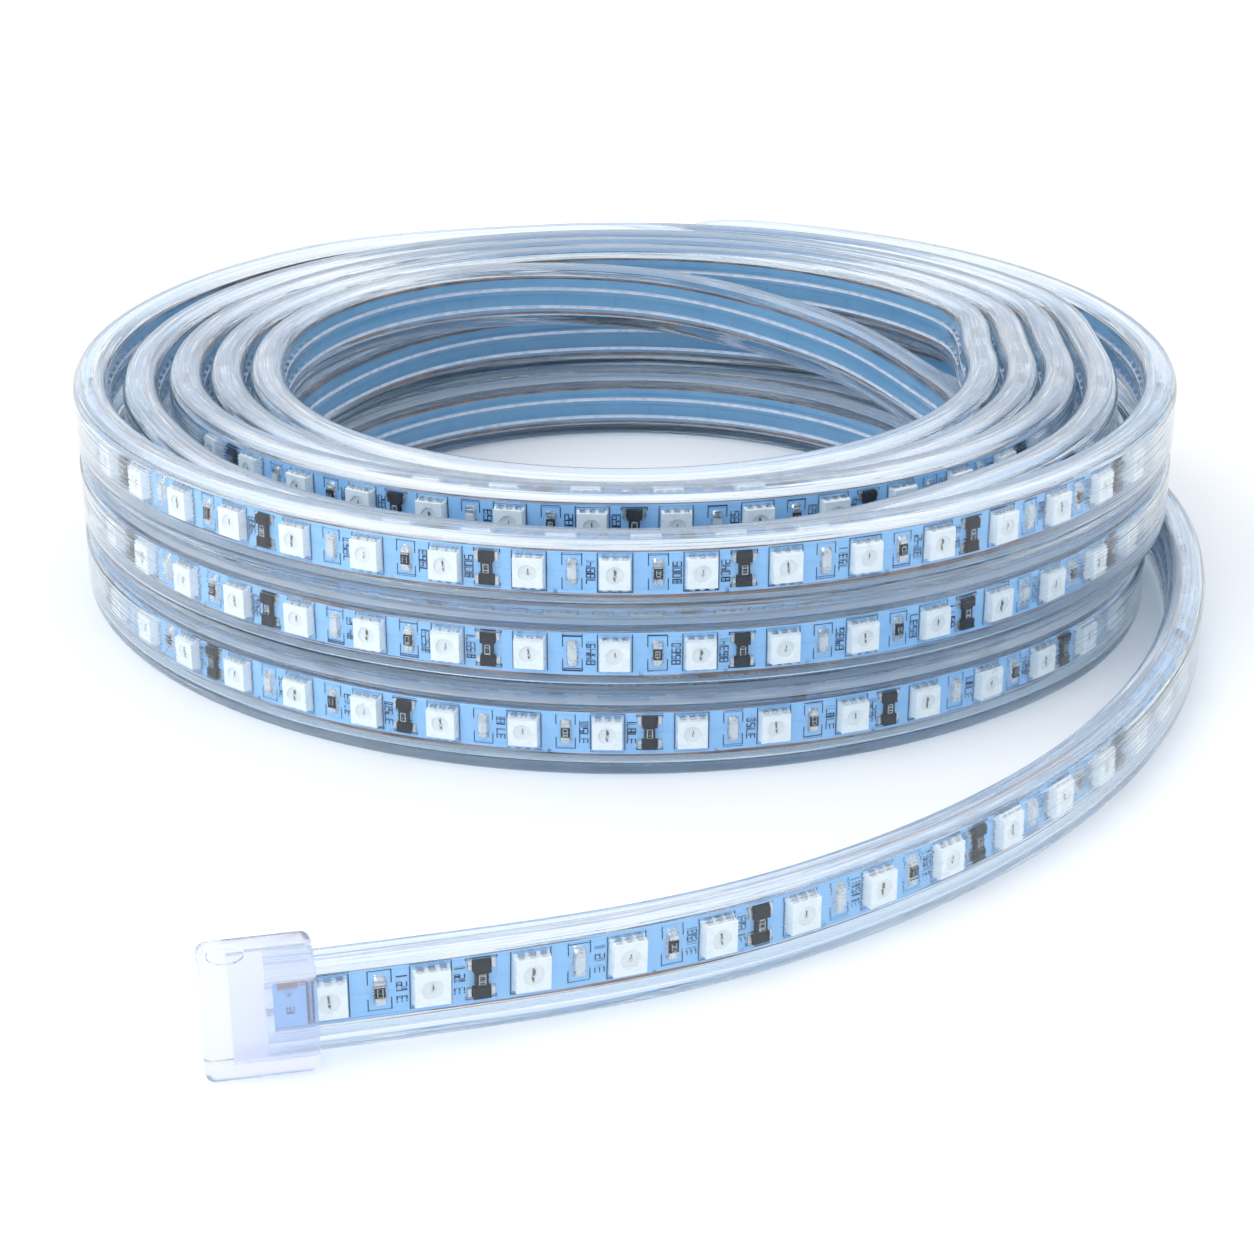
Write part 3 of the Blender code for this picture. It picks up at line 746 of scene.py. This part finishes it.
def make_materials():
    """Every material by its short name."""
    made = {}
    made["sleeve"] = drawn_plastic("clear_sleeve", (0.945, 0.98, 1.0), 0.992)
    # Faces turned up or down get a milky haze with streaks of blue and white: painted reflection of the
    # circuit and the sky, partly a real milkiness of the plastic.
    made["hazy"] = drawn_plastic("hazy_sleeve", (0.945, 0.98, 1.0), 0.72,
                                 ((0.60, 0.77, 0.98), (0.97, 0.98, 1.0)))
    made["frosted"] = solid("frosted_plastic", (0.55, 0.62, 0.76), (0.74, 0.80, 0.90), 0.3, scale=600.0)
    made["cap"] = cap_plastic()
    made["front"] = circuit_material(
        "circuit_front", (0.30, 0.57, 0.90), (0.25, 0.51, 0.86), (0.36, 0.62, 0.93))
    made["back"] = circuit_material(
        "circuit_back", (0.14, 0.35, 0.56), (0.09, 0.26, 0.46), (0.20, 0.42, 0.62))
    made["copper"] = solid("bare_copper", (0.10, 0.05, 0.04), (0.42, 0.25, 0.19), 0.38, 0.4, 160.0)
    made["body"] = solid("led_white", (0.84, 0.84, 0.85), (0.93, 0.93, 0.93), 0.32, scale=700.0)
    made["window"] = solid("led_window", (0.74, 0.75, 0.75), (0.84, 0.84, 0.83), 0.18, scale=500.0)
    made["wire"] = solid("led_wire", (0.10, 0.08, 0.06), (0.30, 0.24, 0.18), 0.35, 0.3, 900.0)
    made["tin"] = solid("tinned_metal", (0.48, 0.49, 0.51), (0.80, 0.80, 0.81), 0.27, 0.85, 1400.0, 0.3, 0.1)
    made["ceramic"] = solid("resistor_white", (0.58, 0.59, 0.61), (0.72, 0.73, 0.75), 0.35, scale=900.0)
    made["black"] = solid(
        "moulded_black", (0.004, 0.005, 0.010), (0.014, 0.017, 0.027), 0.45, scale=1200.0, shine=0.15)
    made["label"] = solid("printed_grey", (0.42, 0.44, 0.47), (0.6, 0.62, 0.65), 0.5, scale=900.0)
    made["ink"] = solid(
        "printed_navy", (0.004, 0.014, 0.06), (0.012, 0.035, 0.11), 0.6, scale=900.0, shine=0.1)
    return made


# Pieces.

def node_names(start):
    """The CAD nodes whose names begin so."""
    return sorted(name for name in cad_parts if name.startswith(start))


def component_steps(path):
    """Where the lamps stand along the strip, what stands between them in a cycle of three, and the joints."""
    starts = [path.distance(angle) for angle, _ in LENGTHS]
    lamps, kinds = [], ([], [], [])
    for start, end, (_, first) in zip(starts, starts[1:] + [path.length], LENGTHS):
        here = np.arange(start + FIRST_LED, end - LAST_LED, LED_PITCH)
        lamps.append(here)
        for index, where in enumerate(here[:-1] + LED_PITCH / 2):
            kinds[(index + first) % len(kinds)].append(where)
    joints = np.array(starts[1:]) + (FIRST_LED - LAST_LED) / 2
    return np.concatenate(lamps), *(np.array(kind) for kind in kinds), joints


def make_components(path, paint):
    """All that is soldered to the circuit, and its print."""
    leds, dark, bridges, bare, joints = component_steps(path)
    lamps = [(led_shape(marks), leds[first::len(LED_MARKS)]) for first, marks in enumerate(LED_MARKS)]
    mesh = spread("lamps", path, lamps)
    add_piece("lamps", mesh, [paint["body"], paint["window"], paint["tin"], paint["wire"]], "led_white",
              *node_names("led_"))
    mesh = spread("resistors", path, [
        (resistor_shape(True), dark), (resistor_shape(False), bare), (joint_shape(), joints),
        (pad_shape(), leds[:1])])
    slots = [paint[name] for name in ("tin", "black", "ceramic", "label", "copper")]
    add_piece("resistors", mesh, slots, "resistor_metal", *node_names("resistor_"))
    mesh = spread("bridges", path, [(bridge_shape(), bridges)])
    add_piece("bridges", mesh, slots[:4], "bridge_black", *node_names("bridge_"))
    mesh = spread("printing", path, printed_groups(leds, dark, bridges, bare))
    add_piece("printing", mesh, [paint["ink"]], "blue_circuit")


def printed_groups(leds, dark, bridges, bare):
    """The circuit's print: brackets round the parts and plain numbers beside them."""
    groups = [
        (frame_print(5.5 * MM, 6.4 * MM, 3.2 * MM), leds),
        (frame_print(3.1 * MM, 5.9 * MM, 1.9 * MM), np.concatenate([dark, bare])),
        (frame_print(4.2 * MM, 6.1 * MM, 0.5 * MM), bridges),
    ]
    for kind, side in ((dark, 1), (bridges, -1), (bare, 1)):
        for index, where in enumerate(kind):
            here = np.array([where])
            text = f"{(index * 37 + 2121) % 9000 + 1000}"
            groups.append((number_shape(text, side * 2.9 * MM, -0.1 * MM, 1.3 * MM), here))
            if index % 2 == 1:
                small = f"{index % 90 + 10}"
                groups.append((number_shape(small, -2.6 * MM, -3.55 * MM, 0.5 * MM), here))
    groups.append((number_shape("12", -4.9 * MM, -1.2 * MM, 0.9 * MM), leds[:1]))
    groups.append((number_shape("4", -4.9 * MM, 1.3 * MM, 0.9 * MM), leds[:1]))
    return groups


def cap_block(length, height):
    """The cap's outside: a block with rounded edges."""
    shape = bmesh.new()
    bmesh.ops.create_cube(shape, size=1.0)
    depth = SLEEVE_THICKNESS + 2 * (CAP_WALL + CAP_GAP)
    bmesh.ops.scale(shape, vec=(length, depth, height), verts=shape.verts)
    bmesh.ops.translate(shape, vec=(CAP_OVERLAP - length / 2, 0, 0), verts=shape.verts)
    bmesh.ops.bevel(shape, geom=shape.edges[:], offset=CAP_EDGE, segments=5, profile=0.5, affect="EDGES")
    mesh = bpy.data.meshes.new("end_cap_clear")
    shape.to_mesh(mesh)
    shape.free()
    return mesh


def socket_cutter():
    """What the sleeve's end and the air beyond it take out of the cap."""
    grow = CAP_GAP / 2
    half_w, half_h = SLEEVE_THICKNESS / 2 + grow, SLEEVE_HEIGHT / 2 + grow
    section = rounded_box(-half_w, half_w, -half_h, half_h, SHOULDER_RADIUS, 8)
    rings = [[(x, y, z) for y, z in section[:, :2]] for x in (-CAP_POCKET, CAP_OVERLAP + 5 * MM)]
    count = len(section)
    ends = [list(range(count))[::-1], [count + i for i in range(count)]]
    mesh = bpy.data.meshes.new("socket")
    mesh.from_pydata(sum(rings, []), [], swept_faces(0, 2, count, True).tolist() + ends)
    return linked("socket", mesh)


def dimple_cutter(top):
    """The shallow round mark in the cap's top."""
    shape = bmesh.new()
    bmesh.ops.create_cone(shape, cap_ends=True, segments=32, radius1=DIMPLE_RADIUS, radius2=DIMPLE_RADIUS,
                          depth=2 * DIMPLE_DEPTH, matrix=Matrix.Translation((DIMPLE_PLACE, 0.0, top)))
    mesh = bpy.data.meshes.new("dimple")
    shape.to_mesh(mesh)
    shape.free()
    return linked("dimple", mesh)


def make_cap(path, paint):
    """The clear cap: a block with rounded edges and a socket that the sleeve's end fits in."""
    points, along, _, _ = path.frames([0.0, CAP_OVERLAP / 2])
    height = SLEEVE_HEIGHT + 2 * (CAP_WALL + CAP_GAP)
    mesh = cap_block(CAP_OVERLAP + CAP_POCKET + CAP_END_WALL, height)
    cap = add_piece("end_cap_clear", mesh, [paint["cap"]], "clear_cap", "end_cap")
    cutters = [socket_cutter(), dimple_cutter(height / 2)]
    for item in [cap] + cutters:
        item.location = points[0]
        item.rotation_euler = (0, 0, math.atan2(along[1][1], along[1][0]))
    for cutter in cutters:
        cut = cap.modifiers.new(cutter.name, "BOOLEAN")
        cut.operation, cut.solver, cut.object = "DIFFERENCE", "EXACT", cutter
    bpy.context.view_layer.update()
    shaped = bpy.data.meshes.new_from_object(cap.evaluated_get(bpy.context.evaluated_depsgraph_get()))
    cap.modifiers.clear()
    cap.data = shaped
    for cutter in cutters:
        bpy.data.objects.remove(cutter, do_unlink=True)
    shaped.shade_smooth()
    shaped.set_sharp_from_angle(angle=math.radians(40))


# Stage, light and camera.

def make_stage():
    """A plain pale floor, just under the coil."""
    mesh = bpy.data.meshes.new("floor")
    far = FLOOR_REACH
    mesh.from_pydata([(-far, -far, 0), (far, -far, 0), (far, far, 0), (-far, far, 0)], [], [(0, 1, 2, 3)])
    floor = linked("floor", mesh)
    floor.location.z = -FLOOR_DROP
    material, _, shader = new_material("floor")
    shader.inputs["Base Color"].default_value = (0.93, 0.93, 0.94, 1)
    shader.inputs["Roughness"].default_value = 0.7
    mesh.materials.append(material)


def make_light():
    """A bright sky and one broad soft lamp."""
    world = bpy.data.worlds.new("studio")
    bpy.context.scene.world = world
    world.use_nodes = True
    tree = world.node_tree
    background = tree.nodes["Background"]
    coordinates = tree.nodes.new("ShaderNodeTexCoord")
    split = tree.nodes.new("ShaderNodeSeparateXYZ")
    tree.links.new(coordinates.outputs["Generated"], split.inputs["Vector"])
    # The sky is dim at the horizon for the plastic to show, and white where it is seen directly.
    rays = tree.nodes.new("ShaderNodeLightPath")
    seen = tree.nodes.new("ShaderNodeMix")
    seen.data_type = "RGBA"
    tree.links.new(rays.outputs["Is Camera Ray"], seen.inputs["Factor"])
    tree.links.new(ramp(tree, split.outputs["Z"], SKY), seen.inputs["A"])
    seen.inputs["B"].default_value = (1.0, 1.0, 1.0, 1.0)
    tree.links.new(seen.outputs["Result"], background.inputs["Color"])
    background.inputs["Strength"].default_value = SKY_STRENGTH
    data = bpy.data.lights.new("key", "AREA")
    data.shape = "RECTANGLE"
    data.size = data.size_y = KEY_SIDE
    data.energy = KEY_POWER
    key = linked("key", data)
    key.location = KEY_PLACE
    key.rotation_euler = (-Vector(KEY_PLACE)).to_track_quat("-Z", "Y").to_euler()
    # Sight lines cross many layers of clear sleeve, and turn black where they run out of bounces.
    paths = bpy.context.scene.cycles
    paths.max_bounces = paths.transmission_bounces = 12
    paths.transparent_max_bounces = 20
    # The sky is even enough to be met by bounced paths alone, which saves shadow rays through the layers.
    world.cycles.sampling_method = "NONE"


def make_camera():
    """The photo's viewing angle."""
    data = bpy.data.cameras.new("camera")
    data.sensor_width = 36.0
    data.lens = CAMERA_LENS
    camera = linked("camera", data)
    camera.location = (AXIS[0] + CAMERA_FROM_AXIS[0], AXIS[1] + CAMERA_FROM_AXIS[1], CAMERA_HEIGHT)
    camera.rotation_euler = (math.radians(CAMERA_TILT), 0, 0)
    bpy.context.scene.camera = camera
    bpy.context.scene.view_settings.view_transform = "Standard"


def main():
    """Everything in the scene, in place of the CAD's pieces."""
    make_camera()
    path = Path()
    paint = make_materials()
    # The third slot is the painted sheen of sky and circuit reflections on the faces turned up or down.
    clear = [paint["sleeve"], paint["frosted"], paint["hazy"]]
    add_piece("sleeve", sleeve_mesh(path), clear, "clear_sleeve", "coil", "tail_sleeve", "outer_sleeve")
    add_piece("circuit", strip_mesh(path), [paint["front"], paint["back"], paint["copper"]], "blue_circuit",
              "circuit_strip", "outer_circuit")
    make_components(path, paint)
    make_cap(path, paint)
    make_stage()
    make_light()
    print("strip length", round(path.length, 3), "m")


main()
